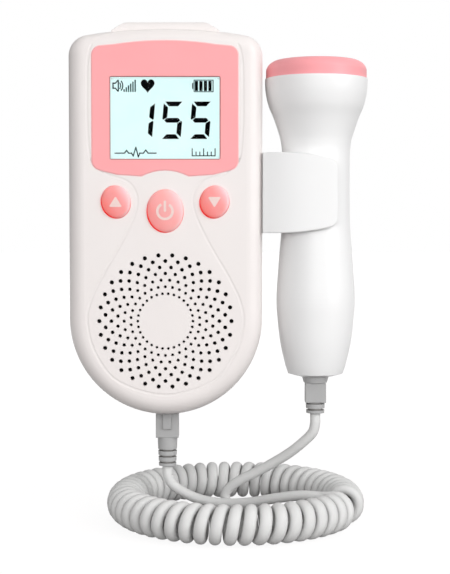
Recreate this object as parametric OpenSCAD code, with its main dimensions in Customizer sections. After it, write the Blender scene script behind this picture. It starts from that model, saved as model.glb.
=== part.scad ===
// Pocket fetal doppler: a hand-held display unit with a loudspeaker, a probe that clips
// to its right side, and a curly lead between the two.
// X runs to the right, +Y runs from the front face to the back, Z is up.
// The origin is on the flat back, on the centre line, at half the unit's height.

/* [Housing] */
// Width of the display unit
body_w = 64.9; // [60:0.1:78]
// Depth of the display unit, front face to back face
body_d = 30; // [29:0.1:38]
// Height of the middle of the top edge above the origin
body_top = 62.9; // [61.5:0.1:80]
// Depth of the lowest point of the round bottom below the origin
body_bottom = 66.6; // [66:0.1:75]
// Radius of the shallow arch along the top edge
arch_r = 160; // [120:1:300]
// Radius of the two top corners
corner_r = 7; // [6.6:0.1:10]
// Wall thickness of the two shells
wall = 2; // [1.6:0.1:2.2]
// Rounding of the front rim
front_round = 5.5; // [4:0.1:5.9]
// Rounding of the back rim
back_round = 4; // [3:0.1:5.5]
// Depth from the back face to the parting line
parting_d = 15; // [14:0.1:16]
// Width of the raised block on the top edge, at its foot
hump_w = 36; // [28:0.5:40]
// Height of that block over the middle of the top edge
hump_h = 2.2; // [1:0.1:4]

/* [Front panel] */
// Width of the pink display surround
bezel_w = 48.4; // [44:0.1:50]
// Height of the pink display surround, without its arched foot
bezel_h = 40.6; // [36:0.1:44]
// Height of the surround's lower corners above the origin
bezel_z = 15.6; // [15:0.1:18]
// Width of the glass
glass_w = 36.6; // [30:0.1:38]
// Height of the glass
glass_h = 27.4; // [22:0.1:29]
// Height of the middle of the glass above the origin
glass_z = 32.7; // [31:0.1:34]
// Depth of the seat of the surround and the glass in the front face
inlay_d = 1; // [0.8:0.1:1.2]
// Width of the fine groove around the inner panel
groove_w = 0.7; // [0.4:0.1:1]
// Depth of that groove
groove_d = 0.35; // [0.2:0.05:0.6]

/* [Buttons] */
// Width of the power button
power_w = 12.3; // [10:0.1:13]
// Height of the power button
power_h = 14.4; // [12:0.1:15]
// Width of the up and down buttons
side_w = 9.9; // [8:0.1:10.5]
// Height of the up and down buttons
side_h = 11; // [9:0.1:11.5]
// Distance of the up and down buttons from the centre line
side_x = 16.4; // [15.5:0.1:17]
// Tilt of the up and down buttons, their tops leaning outwards
side_tilt = 14; // [0:1:20]
// How far the buttons stand out of the front face
button_out = 1.3; // [1:0.1:1.8]
// Travel of a button
button_travel = 0.6; // [0.4:0.1:0.6]

/* [Loudspeaker] */
// Holes in each ring of the grille
grille_holes = 30; // [20:1:30]
// Rings of holes
grille_rings = 7; // [4:1:7]
// Radius of the outermost ring of holes
grille_r = 22.05; // [20:0.05:22.2]
// Step between the outermost rings
grille_step = 1.95; // [1.9:0.05:2]
// Diameter of the outermost holes
hole_d = 1.4; // [1:0.05:1.5]
// Height of the loudspeaker's middle above the origin
speaker_z = -34.8; // [-36:0.1:-34]
// Outside diameter of the loudspeaker
speaker_d = 40; // [36:0.5:40]

/* [Battery bay] */
// Diameter of one cell
cell_d = 14.2; // [13.5:0.1:14.5]
// Length of one cell, with its button
cell_l = 49.8; // [46:0.1:50.5]
// How far the battery door laps over the bay on each side
door_lap = 2.55; // [2.4:0.05:4]
// Thickness of the battery door
door_t = 1.8; // [1.5:0.1:2]

/* [Probe] */
// Space between the probe's head and the unit's side
head_gap = 1.1; // [0.8:0.1:5]
// Space between the probe's head and the plane of the unit's back
head_lift = 0.4; // [0.1:0.1:1.4]
// Radius of the probe's head
head_r = 17.4; // [15:0.1:19]
// Radius of the probe's neck in the holder
neck_r = 11.5; // [10.5:0.1:12]
// Radius of the belly of the grip
belly_r = 13.4; // [12:0.1:14.5]
// Wall thickness of the probe
probe_wall = 2; // [1.5:0.1:2.5]
// Height of the straight side of the pink ring round the head
ring_h = 2.6; // [2:0.1:4]
// Height of the pink ring's rounded shoulder over that side
shoulder_h = 3.8; // [3:0.1:6]
// Rise of the sound face over its edge
lens_rise = 1.2; // [0.5:0.1:2]

/* [Holder] */
// Thickness of the holder's arms
arm_t = 2; // [1.6:0.1:2.2]
// Free space between the holder and the probe's neck
neck_gap = 0.35; // [0.3:0.05:0.6]
// Height of the holder
holder_h = 26.8; // [20:0.1:30]
// Height of the middle of the holder above the origin
holder_z = 8; // [6:0.1:10]

/* [Cord] */
// Diameter of the lead
cord_d = 3.5; // [3:0.1:3.5]
// Radius of the curls, to the middle of the lead
curl_r = 4.8; // [4.6:0.1:5]
// Number of curls
curls = 50; // [20:1:50]
// Width of the two plugs
plug_w = 7.8; // [7:0.1:7.9]

/* [Hidden] */

// True arcs
$fn = 96;
// Reach of a cutting shape beyond the face it cuts
over = 1;
// Slack between two fixed pieces that fit together
fit = 0.1;

arch_z = body_top - arch_r;           // centre of the top arch
// Half the angle of the top arch, to a thousandth of a degree, so that its ends meet the corners
arch_angle = round(1000 * asin((body_w / 2 - corner_r) / (arch_r - corner_r))) / 1000;
corner_x = (arch_r - corner_r) * sin(arch_angle); // centre of a top corner
corner_z = arch_z + (arch_r - corner_r) * cos(arch_angle);
half_w = corner_x + corner_r;         // half the width, to 0.002 mm
probe_x = half_w + head_gap + head_r; // distance of the probe's axis from the centre line
probe_d = head_r + head_lift;         // and from the plane of the back
bottom_z = half_w - body_bottom;      // centre of the round bottom
rim = 6;                              // width of the band that carries the rim's rounding
front_inside = body_d - wall;         // depth of the front wall's inner face
seam_w = 0.4;                         // groove along the parting line, cut in the rear shell
seam_d = 0.3;

hump_lean = 4.2;                      // run of the hump's sloped ends
hump_round = 2.5;
hump_front = 3.5;                     // setback of the hump from the front face
hump_back = 4;                        // and from the back face

bezel_r = 3;                          // corners of the surround
bezel_arch = 1.9;                     // rise of the surround's top edge in the middle
bezel_foot = 2;                       // drop of its lower edge towards the middle
bezel_proud = 0.15;                   // the surround stands this far out of the face
notch_w = 15;                         // arched notch over the power button
notch_h = 2;
glass_r = 0.8;
glass_ledge = 0.4;                    // width of the ledge that carries the glass
power_z = 1.9;                        // heights of the buttons
side_z = 4.9;
button_gap = 0.25;                    // running gap round a button
crown_spread = 1.1;                   // a button's crown is cut from an ellipsoid this much wider
flange_t = 0.8;                       // retaining flange behind the front wall
flange_w = 0.9;
flange_gap = 0.1;
board_t = 1.2;
board_d = 22;                         // depth of the board's back face
board_margin = 3;                     // free space between the board and the side walls
board_drop = 5;                       // the board reaches this far below the power button
switch_w = 6;
switch_h = 1.5;
plunger_h = 0.7;
stem_gap = 0.1;                       // left between stem and plunger when pressed
grille_plate_r = grille_r + hole_d / 2 + 0.75;
grille_flange = 1.5;
flange_d = 0.8;                       // thickness of the grille's glue flange
mesh_t = 0.3;
frame_rim_t = 1;

cell_nub = 1.4;                       // height of a cell's button
bay_wall = 1.2;
bay_slack = 0.5;
bay_w = 2 * cell_d + 3 * bay_slack;
door_w = bay_w + 2 * door_lap;
contact_t = 0.4;
spring_l = 1.4;                       // pressed length of a battery spring
bay_l = cell_l + spring_l + 2 * contact_t;
bay_top = -2.6;
bay_bottom = bay_top - bay_l;
bay_d = door_t + fit + cell_d + 2 * bay_slack;
cell_depth = door_t + fit + bay_slack + cell_d / 2;
door_gap = 0.2;
door_top = -1;                        // height of the door's upper edge
rail_w = 0.8;
rail_t = 0.7;
rail_depth = 0.9;                     // depth of the rails behind the back face
door_floor_t = 1.6;                   // wall under the sliding door
socket_w = plug_w + 0.2;
socket_t = 6.8;
socket_wall = 1;
socket_l = 9.6;
plug_t = 6.6;
plug_seat = 5;                        // part of the plug inside its socket
jack_bore_r = 1.8;
jack_bore_l = 14;
jack_collar_r = 3;
jack_collar_l = 3;                    // part of the collar behind the top wall
jack_w = 10;                          // block behind the collar
jack_t = 6.4;
jack_l = 12;
screw_x = half_w - 7.1;
screw_top_z = 50;
screw_low_z = -20;
screw_head_r = 2.4;
screw_head_h = 1.6;
screw_r = 1.2;
screw_seat_d = 6;                     // depth of the heads' seats in the rear shell
screw_bite = 6;                       // length of thread in the front shell
screw_hole_l = screw_bite + 3;        // depth of the threaded holes
post_r = 3.4;

neck_flare = 0.25;                    // the neck is this much wider at the holder's lower edge
slot_half = neck_r + neck_flare + neck_gap; // half the space between the holder's arms
arm_tip_x = probe_x + 6.5;
holder_curve_r = 40;                  // outer curve of the front arm, seen from above
holder_curve_x = probe_x - 2;
holder_back = probe_d - slot_half - arm_t; // setback of the back arm from the back face
holder_edge_r = 70;                   // taper of the arms towards their tips
holder_taper_x = half_w + 5.9;
tip_round = 3.2;

head_z = 46.8;                        // lower edge of the pink ring
probe_low = -54.6;                    // lower end of the grip
pink_r = head_r - 0.3;                // radius of the pink ring
lens_r = head_r - 3;
shoulder_w = 5;                       // width of the ring's shoulder, a quarter of an ellipse
lens_low = head_z + 2.2;              // flat underside of the sound face

// Radii of the probe's outside at chosen heights, from the grip's end to the head
probe_points = [
    [9.4, probe_low + 1.2], [belly_r - 2.9, -50], [belly_r - 1.35, -43], [belly_r - 0.4, -35],
    [belly_r, -27.3], [belly_r - 0.85, -14], [neck_r + neck_flare, -4.5], [neck_r, 4],
    [neck_r, 20], [neck_r + 0.45, 25.4], [neck_r + 1.5, 29.4], [neck_r + 2.9, 33.5],
    [head_r - 1.3, 37.6], [head_r - 0.3, 41.7], [head_r, 45], [head_r, head_z]
];

// Where the lead runs: from the unit's plug to the curly part, and on to the probe
floor_z = -104;
ring_x = 23.5;                         // middle of the ring that the curly part lies in
ring_y = -18;
ring_r = 37.6;
ring_z = floor_z + curl_r + cord_d / 2;
curl_start = -27;                     // bearing of the first curl
curl_sweep = 345;                     // the curls run clockwise from there
first_phase = 80;                     // 90 is the top of a curl, and the lead runs outwards there
last_phase = 270;                     // the last curl ends at the bottom, running inwards
cord_sides = 6;
lead_sides = 8;
curl_rings = 8;
unit_plug_z = -body_bottom;
boot_l = 10;
unit_boot_z = unit_plug_z - 9.2;
unit_lead_z = unit_boot_z - boot_l;
probe_plug_z = probe_low - 2;
probe_boot_z = probe_plug_z - 6.8;
probe_lead_z = probe_boot_z - 3.7;
unit_lead_points = [
    [1.6, -14.8, -92.5], [5.8, -14.5, -95.6],
    [11.6, -14.6, -98], [19.5, -16, -99], [28.5, -19.2, -98], [37.5, -23.6, -95.6],
    [45.5, -28, -93.8]
];
probe_lead_points = [
    [50.1, -17.4, -74],
    [46.5, -16, -78], [42, -13.6, -82], [36.5, -10.6, -86], [31, -7.6, -89.6],
    [26, -5.2, -92.6], [22, -3.6, -95.6], [20, -3.2, -98.6], [21, -4.2, -101.2],
    [25, -7.2, -102.2], [31, -11.4, -102.2], [38.5, -16.2, -102.2], [46.5, -21, -102.2]
];

// ---- helpers ----

// Draws a flat shape in the X-Z plane and gives it thickness: its back lies at depth d
module plate(d, t) {
    translate([0, -d, 0]) rotate([90, 0, 0]) linear_extrude(t) children();
}

// A round bar along Y from depth d forwards
module bar(d, t, r) {
    translate([0, -d, 0]) rotate([90, 0, 0]) cylinder(h = t, r = r);
}

module rounded_rect(w, h, r) {
    square([w - 2 * r, h], center = true);
    square([w, h - 2 * r], center = true);
    for (sx = [-1, 1], sz = [-1, 1])
        translate([sx * (w / 2 - r), sz * (h / 2 - r)]) circle(r);
}

// The unit's outline, drawn inwards by inset. Its top is a fine polygon, which the rim covers
module outline(inset = 0) {
    w = half_w - inset;
    r = corner_r - inset;
    side = [[w, bottom_z], [w, corner_z - 1]];
    corner = [for (k = [0.5 : 4.5]) let (a = (90 - arch_angle) * k / 5)
        [corner_x + r * cos(a), corner_z + r * sin(a)]];
    arch = [for (k = [5.5 : -1 : -5.5]) let (a = arch_angle * k / 6)
        [(arch_r - inset) * sin(a), arch_z + (arch_r - inset) * cos(a)]];
    translate([0, bottom_z]) circle(w);
    polygon(concat(side, corner, arch, mirrored(concat(side, corner))));
}

// The rim's cross-section: across from 0 to rim, and depth along the second axis.
// It runs from the parting line to the flat face, with the face at depth d_face. A seam
// narrows its outer corner at the parting line
module rim_section(d_part, d_face, r, seam = 0) {
    s = sign(d_face - d_part);
    h = abs(d_face - d_part);
    translate([0, d_part]) scale([1, s]) difference() {
        rim_solid(h, r, rim);
        translate([-over, -over]) rim_solid(h - wall + over, r - wall, rim - wall + over);
        if (seam > 0) translate([rim - seam, -over]) square([seam + over, seam_w + over]);
    }
}

module rim_solid(h, r, w) {
    square([w - r, h]);
    square([w, h - r]);
    intersection() {
        translate([w - r, h - r]) circle(r);
        translate([w - r - 0.5, h - r - 0.5]) square(r + over);
    }
}

// Sweeps the rim's cross-section once round the outline
module rim_ring() {
    rotate([90, 0, 0]) {
        translate([0, bottom_z, 0]) rotate_extrude(angle = 180, start = 180)
            translate([half_w - rim, 0]) children();
        translate([0, arch_z, 0])
            rotate_extrude(angle = 2 * arch_angle, start = 90 - arch_angle, $fn = 720)
            translate([arch_r - rim, 0]) children();
        for (s = [0, 1]) mirror([s, 0, 0])
            translate([corner_x, corner_z, 0]) rotate_extrude(angle = 90 - arch_angle, start = 0)
            translate([corner_r - rim, 0]) children();
    }
    for (s = [0, 1]) mirror([s, 0, 0])
        translate([half_w - rim, 0, bottom_z]) mirror([0, 1, 0])
        linear_extrude(corner_z - bottom_z) children();
}

// The hump on the top edge between two depths, drawn inwards by inset
module hump(d0, d1, inset = 0) {
    foot = body_top - wall + 0.1;
    top = body_top + hump_h - inset;
    half = hump_w / 2 - inset;
    intersection() {
        plate(d0, d1 - d0) polygon([
            [-half, foot], [half, foot], [half, foot + 1.1],
            [half - hump_lean, top - 0.3], [half - hump_lean - 1.4, top],
            [-half + hump_lean + 1.4, top], [-half + hump_lean, top - 0.3], [-half, foot + 1.1]
        ]);
        translate([-hump_w, 0, 0]) rotate([90, 0, 90]) linear_extrude(2 * hump_w)
            translate([-(body_d - hump_front + hump_back) / 2, top - 10])
            rounded_rect(body_d - hump_front - hump_back, 20, hump_round);
    }
}

// Points of a smooth closed curve through the given points
function smooth_closed(p, steps) = [
    for (i = [0 : len(p) - 1], k = [0 : steps - 1])
        spline_point(p[(i + len(p) - 1) % len(p)], p[i], p[(i + 1) % len(p)], p[(i + 2) % len(p)], k / steps)
];

// Points of a smooth open curve through the given points
function smooth_open(p, steps) = concat([
    for (i = [0 : len(p) - 2], k = [0 : steps - 1])
        spline_point(p[max(i - 1, 0)], p[i], p[i + 1], p[min(i + 2, len(p) - 1)], k / steps)
], [p[len(p) - 1]]);

function spline_point(a, b, c, d, t) =
    0.5 * ((2 * b) + (c - a) * t + (2 * a - 5 * b + 4 * c - d) * t * t
    + (3 * b - a - 3 * c + d) * t * t * t);

function unit(v) = v / norm(v);

// Direction of a path at its point i
function heading(p, i) = unit(p[min(i + 1, len(p) - 1)] - p[max(i - 1, 0)]);

// A tube of n sides along a path. The sides turn as little as possible from ring to ring
function sides_of(p, i, last) =
    let (t = heading(p, i), flat = last - (last * t) * t)
    i == len(p) - 1 ? [unit(flat)] : concat([unit(flat)], sides_of(p, i + 1, unit(flat)));

module tube(p, r, n, first_side) {
    normals = sides_of(p, 0, first_side);
    m = len(p);
    points = [
        for (i = [0 : m - 1], k = [0 : n - 1])
            let (u = normals[i], v = cross(heading(p, i), u), a = 360 * k / n)
            p[i] + r * (cos(a) * u + sin(a) * v)
    ];
    skin = [
        for (i = [0 : m - 2], k = [0 : n - 1], half = [0, 1])
            let (a = i * n + k, b = i * n + (k + 1) % n)
            half == 0 ? [a, a + n, b] : [b, a + n, b + n]
    ];
    polyhedron(
        points = points,
        faces = concat([[for (k = [0 : n - 1]) k]], skin,
            [[for (k = [n - 1 : -1 : 0]) (m - 1) * n + k]])
    );
}

// ---- the curly cord's path ----

phase_sweep = 360 * (curls - 1) + last_phase - first_phase;
curl_steps = floor(curl_rings * phase_sweep / 360);

// A point of the curly cord, f from 0 to 1 along it. The curls run outwards over the top
function curl_point(f) =
    let (bearing = curl_start - curl_sweep * f,
         phase = first_phase + phase_sweep * f,
         r = ring_r - curl_r * cos(phase),
         z = ring_z + curl_r * sin(phase))
    [ring_x + r * cos(bearing), ring_y + r * sin(bearing), z];

curl_path = [for (i = [0 : curl_steps]) curl_point(i / curl_steps)];
curl_in = unit(curl_point(0) - curl_point(0.0002));
curl_out = unit(curl_point(1) - curl_point(0.9998));
curly_path = concat([curl_path[0] + cord_d * curl_in], curl_path,
    [curl_path[curl_steps] + cord_d * curl_out]);

// A lead runs straight down out of its boot, along its points and straight into the curls
function lead_path(boot_end, points, joint, inwards) = concat([boot_end],
    smooth_open(concat([boot_end - [0, 0, cord_d]], points, [joint + 2 * inwards]), 2), [joint]);
unit_lead_path = lead_path([0, -parting_d, unit_lead_z], unit_lead_points, curly_path[0], curl_in);
probe_lead_path = lead_path([probe_x, -probe_d, probe_lead_z], probe_lead_points,
    curly_path[len(curly_path) - 1], curl_out);

// Least gap between the surface of one curl and the next
function curl_gap() = min([
    for (i = [0 : curl_steps], k = [curl_rings - 2 : curl_rings + 2])
        if (i + k <= curl_steps) norm(curl_path[i] - curl_path[i + k])
]) - cord_d;
echo(least_gap_between_curls = curl_gap());

// ---- the display unit ----

// Centres of the four case screws
screw_places = [
    [-screw_x, screw_top_z], [screw_x, screw_top_z], [-screw_x, screw_low_z], [screw_x, screw_low_z]
];

// The right half of the inner panel's edge, from the top downwards; the left mirrors it
panel_half = [
    [26.2, 40], [25.9, 26], [24.6, 18.2], [19.5, 13.9], [13, 11.6], [10, 7.8], [9.8, 3],
    [12.2, -3.4], [16.2, -11], [21.2, -19.5], [25.4, -28.5], [26.3, -36.5], [23.3, -46.4],
    [15.8, -55.4]
];
panel_top = [[19.5, 60.4], [25.3, 55.4]];

function mirrored(p) = [for (i = [len(p) - 1 : -1 : 0]) [-p[i].x, p[i].y]];
panel_edge = concat([[0, 61.6]], panel_top, panel_half, [[0, -59.9]],
    mirrored(concat(panel_top, panel_half)));

module groove_line() {
    difference() {
        polygon(smooth_closed(panel_edge, 5));
        offset_line(groove_w);
    }
}

// The same line moved inwards by w
module offset_line(w) {
    p = smooth_closed(panel_edge, 5);
    n = len(p);
    polygon([for (i = [0 : n - 1])
        let (d = unit(p[(i + 1) % n] - p[(i + n - 1) % n])) p[i] + w * [d.y, -d.x]]);
}

// Outline of the display surround: arched above, notched over the power button
module bezel_shape(grow = 0) {
    w = bezel_w / 2 + grow;
    low = bezel_z - grow;
    high = bezel_z + bezel_h + grow;
    r = bezel_r + grow;
    foot_x = notch_w / 2 + 0.4 - grow;
    polygon(concat(
        [for (a = [0 : 15 : 90]) [w - r + r * cos(a), high - r + r * sin(a) + 0.2]],
        [for (k = [-5 : 5])
            [-k * (w - r - 1) / 6, high + bezel_arch * (1 - pow(k / 6, 2))]],
        [for (a = [90 : 15 : 180]) [-w + r + r * cos(a), high - r + r * sin(a) + 0.2]],
        [for (a = [180 : 15 : 255]) [-w + r + r * cos(a), low + r + r * sin(a)]],
        [[-(w + foot_x) / 2, low - bezel_foot * 0.72], [-foot_x, low - bezel_foot]],
        [for (k = [-3 : 3]) [k * foot_x / 4, low - bezel_foot + notch_h * (1 - pow(k / 4, 2))]],
        [[foot_x, low - bezel_foot], [(w + foot_x) / 2, low - bezel_foot * 0.72]],
        [for (a = [285 : 15 : 360]) [w - r + r * cos(a), low + r + r * sin(a)]]
    ));
}

// An oval bar along Y, from depth d forwards
module oval_bar(d, t, w, h) {
    translate([0, -d, 0]) rotate([90, 0, 0]) scale([w / h, 1, 1]) cylinder(h = t, r = h / 2);
}

// Hole in the front wall for a button of that width and height
module button_hole(w, h) {
    oval_bar(front_inside - over, wall + 2 * over, w + 2 * button_gap, h + 2 * button_gap);
}

module at_power() { translate([0, 0, power_z]) children(); }
module at_side(s) { translate([s * side_x, 0, side_z]) rotate([0, s * side_tilt, 0]) children(); }

module front_shell() {
    color("#F1EEEC") difference() {
        union() {
            rim_ring() rim_section(parting_d, body_d, front_round);
            plate(front_inside, wall) outline(rim - 0.2);
            hump(parting_d, body_d);
            for (p = screw_places) translate([p.x, 0, p.y])
                bar(parting_d, front_inside - parting_d, post_r);
        }
        plate(body_d - groove_d, groove_d + over) groove_line();
        plate(body_d - inlay_d, inlay_d + over) bezel_shape(fit);
        plate(front_inside - over, wall + 2 * over) translate([0, glass_z])
            rounded_rect(glass_w - 2 * glass_ledge, glass_h - 2 * glass_ledge, glass_r);
        at_power() button_hole(power_w, power_h);
        for (s = [-1, 1]) at_side(s) button_hole(side_w, side_h);
        translate([0, 0, speaker_z]) bar(front_inside - over, wall + 2 * over, grille_plate_r + fit / 2);
        for (p = screw_places) translate([p.x, 0, p.y])
            bar(parting_d - over, screw_hole_l + over, screw_r);
        socket_cut();
        jack_cut();
    }
}

// The round loudspeaker insert with its rings of holes
module speaker_grille() {
    color("#F1EEEC") translate([0, 0, speaker_z]) {
        plate(front_inside, wall) difference() {
            circle(grille_plate_r);
            for (i = [0 : grille_rings - 1], k = [0 : grille_holes - 1])
                rotate(360 / grille_holes * (k + (i % 2) / 2))
                    translate([ring_radius(i), 0]) circle(d = hole_size(i), $fn = 24);
        }
        plate(front_inside - flange_d, flange_d) difference() {
            circle(grille_plate_r + grille_flange);
            circle(grille_plate_r - 0.4);
        }
    }
}

// The rings come a little closer together outwards, and their holes grow
function ring_radius(i) = grille_r - grille_step * i - 0.032 * i * i;
function hole_size(i) = hole_d * (1 - 0.06 * i);

module display_bezel() {
    color("#FFACAF") plate(body_d - inlay_d, inlay_d + bezel_proud) difference() {
        bezel_shape();
        translate([0, glass_z]) rounded_rect(glass_w + 2 * fit, glass_h + 2 * fit, glass_r);
    }
}

module display_window() {
    color("#DDF7F4") plate(body_d - inlay_d, inlay_d) translate([0, glass_z])
        rounded_rect(glass_w, glass_h, glass_r);
}

lcd_w = glass_w + 3;
lcd_h = glass_h + 3;
lcd_t = 2.2;

module lcd_panel() {
    color("#CFEDEA") plate(front_inside - lcd_t, lcd_t) translate([0, glass_z])
        square([lcd_w, lcd_h], center = true);
}

// Backlight tray between the panel and the board
module lcd_frame() {
    tray_t = front_inside - lcd_t - board_d - board_t;
    color("#F5F5F5") plate(board_d + board_t, tray_t) translate([0, glass_z]) difference() {
        square([lcd_w + 2, lcd_h + 2], center = true);
        for (s = [-1, 1]) translate([s * (lcd_w / 2 - 3), 0]) circle(1.2);
    }
}

module main_board() {
    low = power_z - power_h / 2 - board_drop;
    half = half_w - wall - board_margin;
    color("#2E7D4F") plate(board_d, board_t) difference() {
        translate([-half, low]) square([2 * half, corner_z - low - 2]);
        for (p = screw_places) translate(p) circle(post_r + 0.4);
    }
}

// A low push switch on the board
module tact_switch() {
    color("#C9CCCF") {
        translate([-switch_w / 2, -board_d - board_t - switch_h, -switch_w / 2])
            cube([switch_w, switch_h, switch_w]);
        bar(board_d + board_t + switch_h, plunger_h, 1.6);
    }
}

module dust_mesh() {
    color("#2B2B2D") translate([0, 0, speaker_z])
        bar(front_inside - flange_d - mesh_t, mesh_t, grille_plate_r + 0.2);
}

frame_front = front_inside - flange_d - mesh_t;
basket_d = 5;

module speaker_frame() {
    color("#4A4A4C") translate([0, -frame_front, speaker_z]) rotate([-90, 0, 0]) rotate_extrude()
        polygon([
            [speaker_d / 2 - 2.5, 0], [speaker_d / 2, 0], [speaker_d / 2, frame_rim_t],
            [speaker_d / 2 - 1.4, frame_rim_t], [speaker_d / 4, basket_d], [5.8, basket_d],
            [5.8, basket_d - 0.8], [speaker_d / 4 - 0.3, basket_d - 0.8],
            [speaker_d / 2 - 2.5, frame_rim_t + 0.1]
        ]);
}

// Cone with its dust cap, inside the frame
module speaker_cone() {
    rim_r = speaker_d / 2 - 2.5;
    color("#1F1F21") translate([0, -frame_front, speaker_z]) rotate([-90, 0, 0]) rotate_extrude()
        polygon([
            [0, 0.6], [2.5, 0.7], [4.5, 1.3], [5.5, 2.2], [rim_r - 3, 0.5], [rim_r - 1.5, 0.2],
            [rim_r, 0.5], [rim_r, 0.9], [rim_r - 1.5, 0.6], [rim_r - 3, 0.9], [5.5, 2.7],
            [5.5, basket_d - 1], [4.9, basket_d - 1], [4.9, 2.4], [0, 1.2]
        ]);
}

module speaker_magnet() {
    color("#8E9092") translate([0, 0, speaker_z])
        bar(bay_d + bay_wall + 0.1, frame_front - basket_d - bay_d - bay_wall - 0.1, 9);
}

// Walls of the battery bay, and the floor that the door slides over
module bay_body() {
    translate([-bay_w / 2 - bay_wall, -bay_d - bay_wall, bay_bottom - bay_wall])
        cube([bay_w + 2 * bay_wall, bay_d + bay_wall - door_t, bay_l + 2 * bay_wall]);
    intersection() {
        translate([-door_w / 2 - 3, -door_t - door_gap - door_floor_t, -body_bottom])
            cube([door_w + 6, door_floor_t + door_t, body_bottom + door_top + 3]);
        plate(0, 10) outline(wall - 0.1);
    }
}

module bay_cut() {
    translate([-bay_w / 2, -bay_d, bay_bottom]) cube([bay_w, bay_d + over, bay_l]);
    translate([0, -door_t - door_gap, 0]) door_prism(door_gap, door_t + door_gap + over);
    for (s = [-1, 1]) translate([s * (door_w / 2 + rail_w / 2), -rail_depth - rail_t / 2, 0])
        translate([-rail_w / 2 - door_gap, -rail_t / 2 - door_gap, -body_bottom - over])
        cube([rail_w + 2 * door_gap, rail_t + 2 * door_gap, body_bottom + door_top - 3 + over]);
}

// Straight-sided block of the door, open at the bottom
module door_prism(grow, t) {
    translate([-door_w / 2 - grow, 0, -body_bottom - over])
        cube([door_w + 2 * grow, t, body_bottom + door_top + over + grow]);
}

module rear_shell() {
    color("#EFECEA") difference() {
        union() {
            rim_ring() rim_section(parting_d, 0, back_round, seam_d);
            plate(0, wall) outline(rim - 0.2);
            hump(0, parting_d - seam_w);
            hump(parting_d - seam_w, parting_d, seam_d);
            bay_body();
            for (p = screw_places) translate([p.x, 0, p.y]) bar(0, parting_d, post_r);
        }
        bay_cut();
        for (p = screw_places) translate([p.x, 0, p.y]) {
            bar(-over, screw_seat_d + over, screw_head_r + 3 * fit);
            bar(0, parting_d + over, screw_r + 2 * fit);
        }
        socket_cut();
        jack_cut();
    }
}

// Half of this opening lies in each shell
module socket_cut() {
    w = socket_w + 2 * (socket_wall + fit);
    t = socket_t + 2 * (socket_wall + fit);
    translate([-w / 2, -parting_d - t / 2, -body_bottom - over]) cube([w, t, socket_l + over + fit]);
}

module jack_cut() {
    translate([0, -parting_d, body_top - wall - over])
        cylinder(h = wall + hump_h + 2 * over, r = jack_collar_r + fit);
}

// Modular socket: a box open at the bottom, with the slot for the plug's latch
module cord_socket() {
    color("#3A3A3C") translate([0, -parting_d, -body_bottom]) difference() {
        intersection() {
            translate([-socket_w / 2 - socket_wall, -socket_t / 2 - socket_wall, 0])
                cube([socket_w + 2 * socket_wall, socket_t + 2 * socket_wall, socket_l]);
            translate([0, 20, body_bottom + bottom_z]) rotate([90, 0, 0]) cylinder(h = 40, r = half_w);
        }
        translate([-socket_w / 2, -socket_t / 2, -over])
            cube([socket_w, socket_t, socket_l - socket_wall + over]);
    }
}

module headphone_jack() {
    top = body_top + hump_h - 0.3;
    inner = body_top - wall - 2 * fit;
    color("#3A3A3C") difference() {
        union() {
            translate([0, -parting_d, inner - jack_collar_l])
                cylinder(h = top - inner + jack_collar_l, r = jack_collar_r);
            translate([-jack_w / 2, -parting_d - jack_t / 2, inner - jack_l])
                cube([jack_w, jack_t, jack_l]);
        }
        translate([0, -parting_d, top - jack_bore_l])
            cylinder(h = jack_bore_l + over, r = jack_bore_r);
    }
}

// A cell standing along Z, its button upwards when up is 1
module cell(x, up) {
    can = cell_l - cell_nub;
    s = up ? 1 : -1;
    color("#3B6EA8") translate([x, -cell_depth, bay_bottom + bay_l / 2 + s * spring_l / 2])
        scale([1, 1, s]) translate([0, 0, -cell_l / 2]) {
            cylinder(h = can, r = cell_d / 2);
            translate([0, 0, can]) cylinder(h = cell_nub, r = 2.6);
        }
}

cell_x = (cell_d + bay_slack) / 2;

// One coil spring for each cell's flat end, as a plain stub, on its plate
module battery_springs() {
    color("#B8BABD") for (up = [0, 1]) {
        x = up ? -cell_x : cell_x;
        z = up ? bay_bottom : bay_top - contact_t;
        translate([x - 5, -cell_depth - 5, z]) cube([10, 10, contact_t]);
        translate([x, -cell_depth, up ? z + contact_t : z - spring_l]) difference() {
            cylinder(h = spring_l, r = 3.6);
            translate([0, 0, -over]) cylinder(h = spring_l + 2 * over, r = 2.4);
        }
    }
}

// The flat contacts at the cells' buttons
module battery_plate() {
    color("#C8A850") for (up = [0, 1])
        translate([(up ? -cell_x : cell_x) - 4, -cell_depth - 4, up ? bay_top - contact_t : bay_bottom])
            cube([8, 8, contact_t]);
}

module case_screw(p) {
    recess_l = 3;
    recess_w = 0.6;
    recess_d = 0.7;
    color("#A7A9AC") translate([p.x, 0, p.y]) difference() {
        union() {
            bar(screw_seat_d - screw_head_h, screw_head_h, screw_head_r);
            bar(screw_seat_d, parting_d - screw_seat_d + screw_bite, screw_r - fit / 2);
        }
        for (a = [0, 90]) rotate([0, a, 0])
            translate([-recess_l / 2, screw_head_h - screw_seat_d - recess_d, -recess_w / 2])
            cube([recess_l, recess_d + over, recess_w]);
    }
}

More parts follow.
